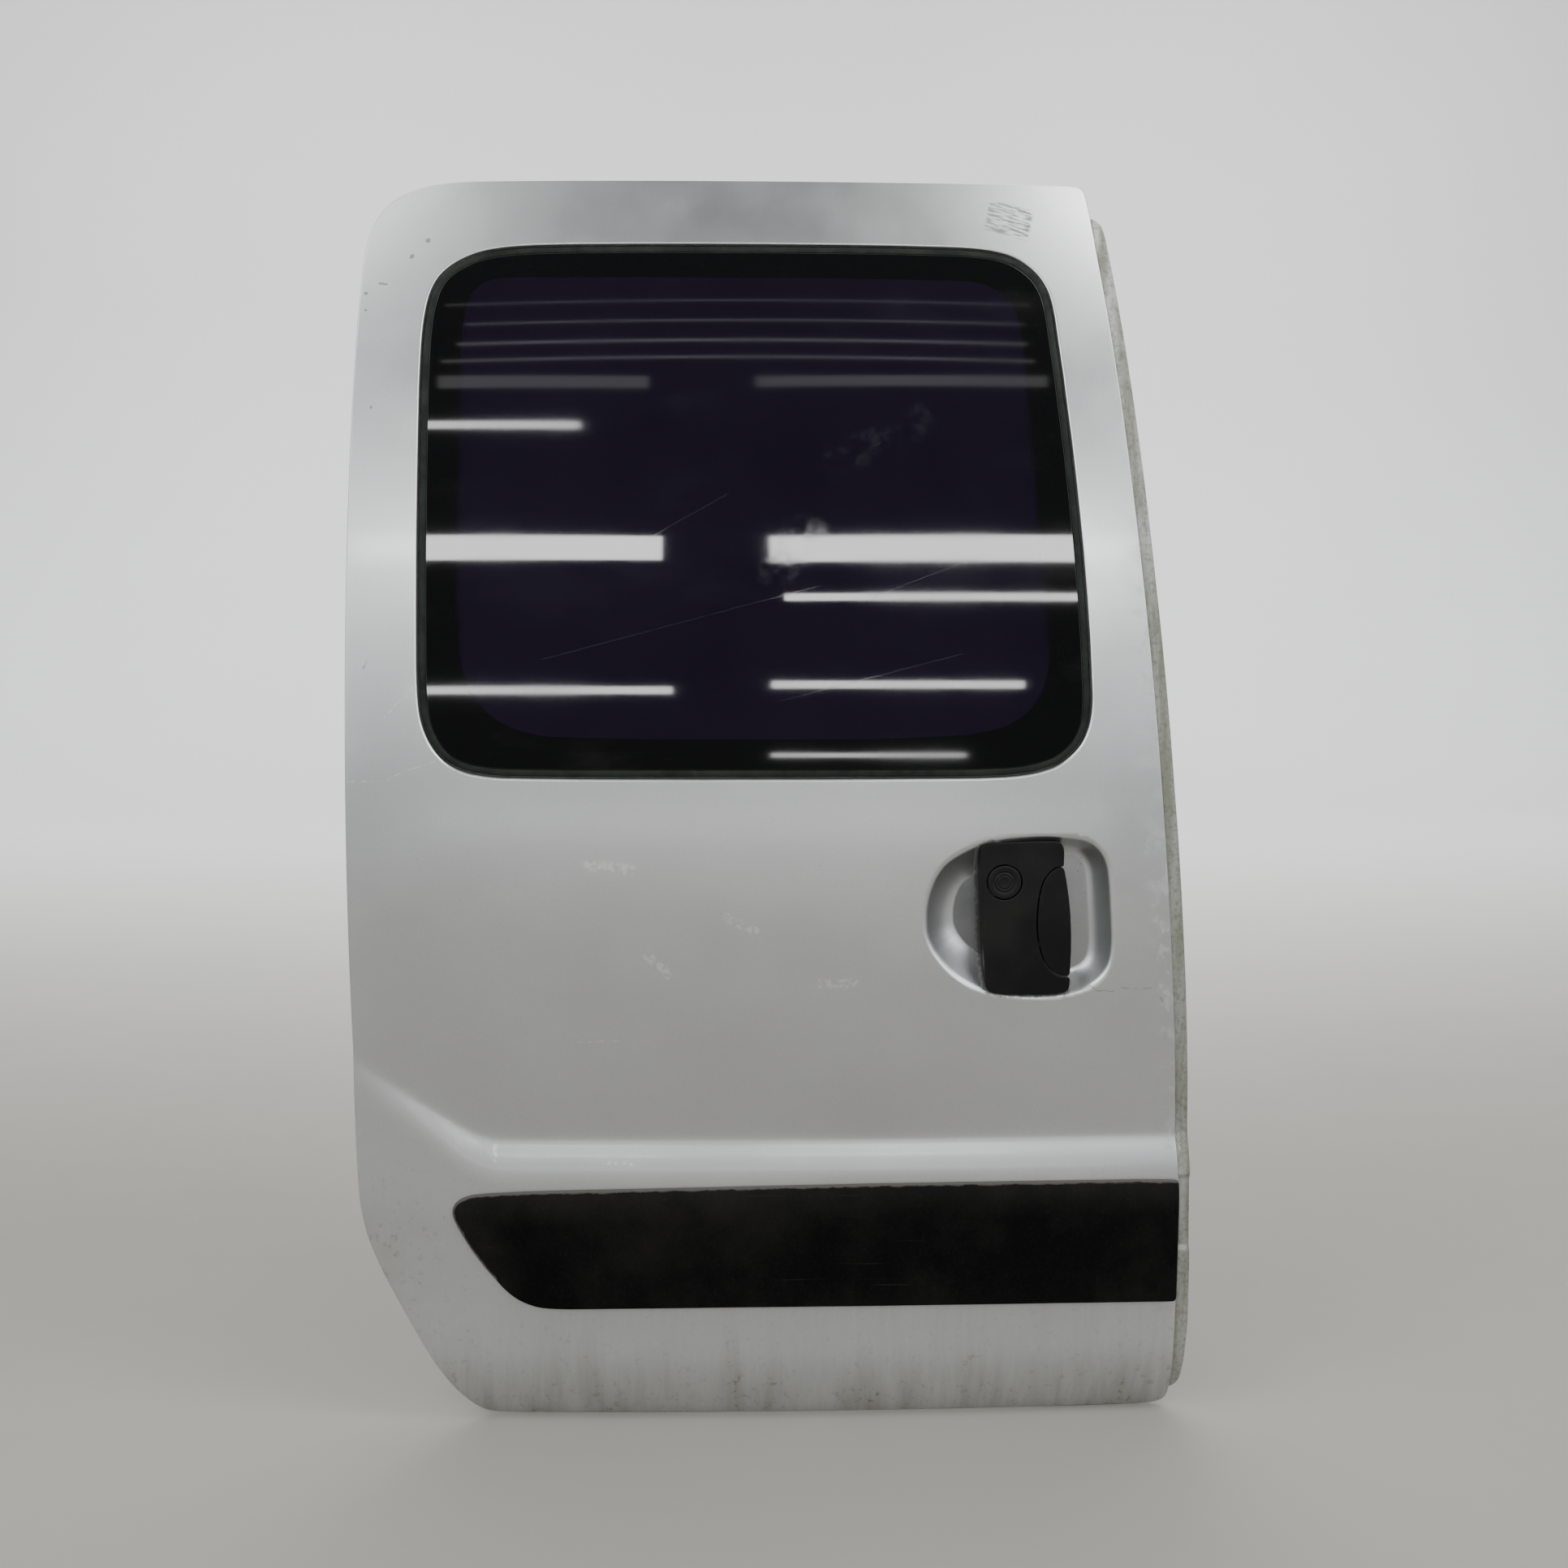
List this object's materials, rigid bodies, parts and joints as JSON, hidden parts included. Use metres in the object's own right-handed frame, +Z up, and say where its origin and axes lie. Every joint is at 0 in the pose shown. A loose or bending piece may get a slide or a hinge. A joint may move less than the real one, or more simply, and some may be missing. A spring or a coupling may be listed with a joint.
{
  "type": "van sliding door",
  "caption": "Sliding side door of a compact van: silver pressed skin and inner pan, dark bonded window, recessed pull handle, black lower moulding, roller arms and hinge plate.",
  "frame": {"origin": "middle of the flat inward face of the centre hinge plate, at the rear edge of the door", "axes": "+X towards the front edge of the door, +Y into the vehicle, +Z up"},
  "size_m": [0.8458, 0.2738, 1.2655],
  "materials": {
    "silver_paint": "worn metallic silver lacquer",
    "tinted_glass": "dark tinted, black ceramic border",
    "black_rubber": "matt",
    "handle_plastic": "fine satin",
    "moulding_plastic": "grained, dusty",
    "plated_steel": "dull zinc plate",
    "roller_plastic": "off-white, worn",
    "trim_plastic": "grained dark grey"
  },
  "bodies": {
    "door": {"outer_skin": "silver_paint", "handle_dish": "silver_paint", "front_flange": "silver_paint", "inner_panel": "silver_paint", "window_glass": "tinted_glass", "window_seal": "black_rubber", "glass_bead": "black_rubber", "handle_body": "handle_plastic", "lever_pin": "plated_steel", "lock_blank": "handle_plastic", "lower_moulding": "moulding_plastic", "centre_hinge_plate": "plated_steel", "front_latch": "plated_steel", "front_latch_claw": "plated_steel", "rear_latch": "plated_steel", "rear_latch_claw": "plated_steel", "upper_arm": "plated_steel", "upper_axle": "plated_steel", "upper_roller": "roller_plastic", "lower_arm": "plated_steel", "lower_guide_axle": "plated_steel", "lower_guide_roller": "roller_plastic", "lower_load_axle": "plated_steel", "lower_load_roller": "roller_plastic", "inner_trim": "trim_plastic", "inner_handle_bezel": "handle_plastic", "inner_handle": "handle_plastic", "bump_stop_upper": "black_rubber", "bump_stop_lower": "black_rubber", "guide_block": "handle_plastic"},
    "lever": {"handle_lever": "handle_plastic"}
  },
  "joints": [
    {"name": "handle_pull", "type": "hinge", "parent": "door", "child": "lever", "pos_m": [0.6376, -0.0484, -0.068], "axis": [0, 0, -1], "range_deg": [0, 22], "stiffness_Nm_per_rad": 0.4}
  ]
}
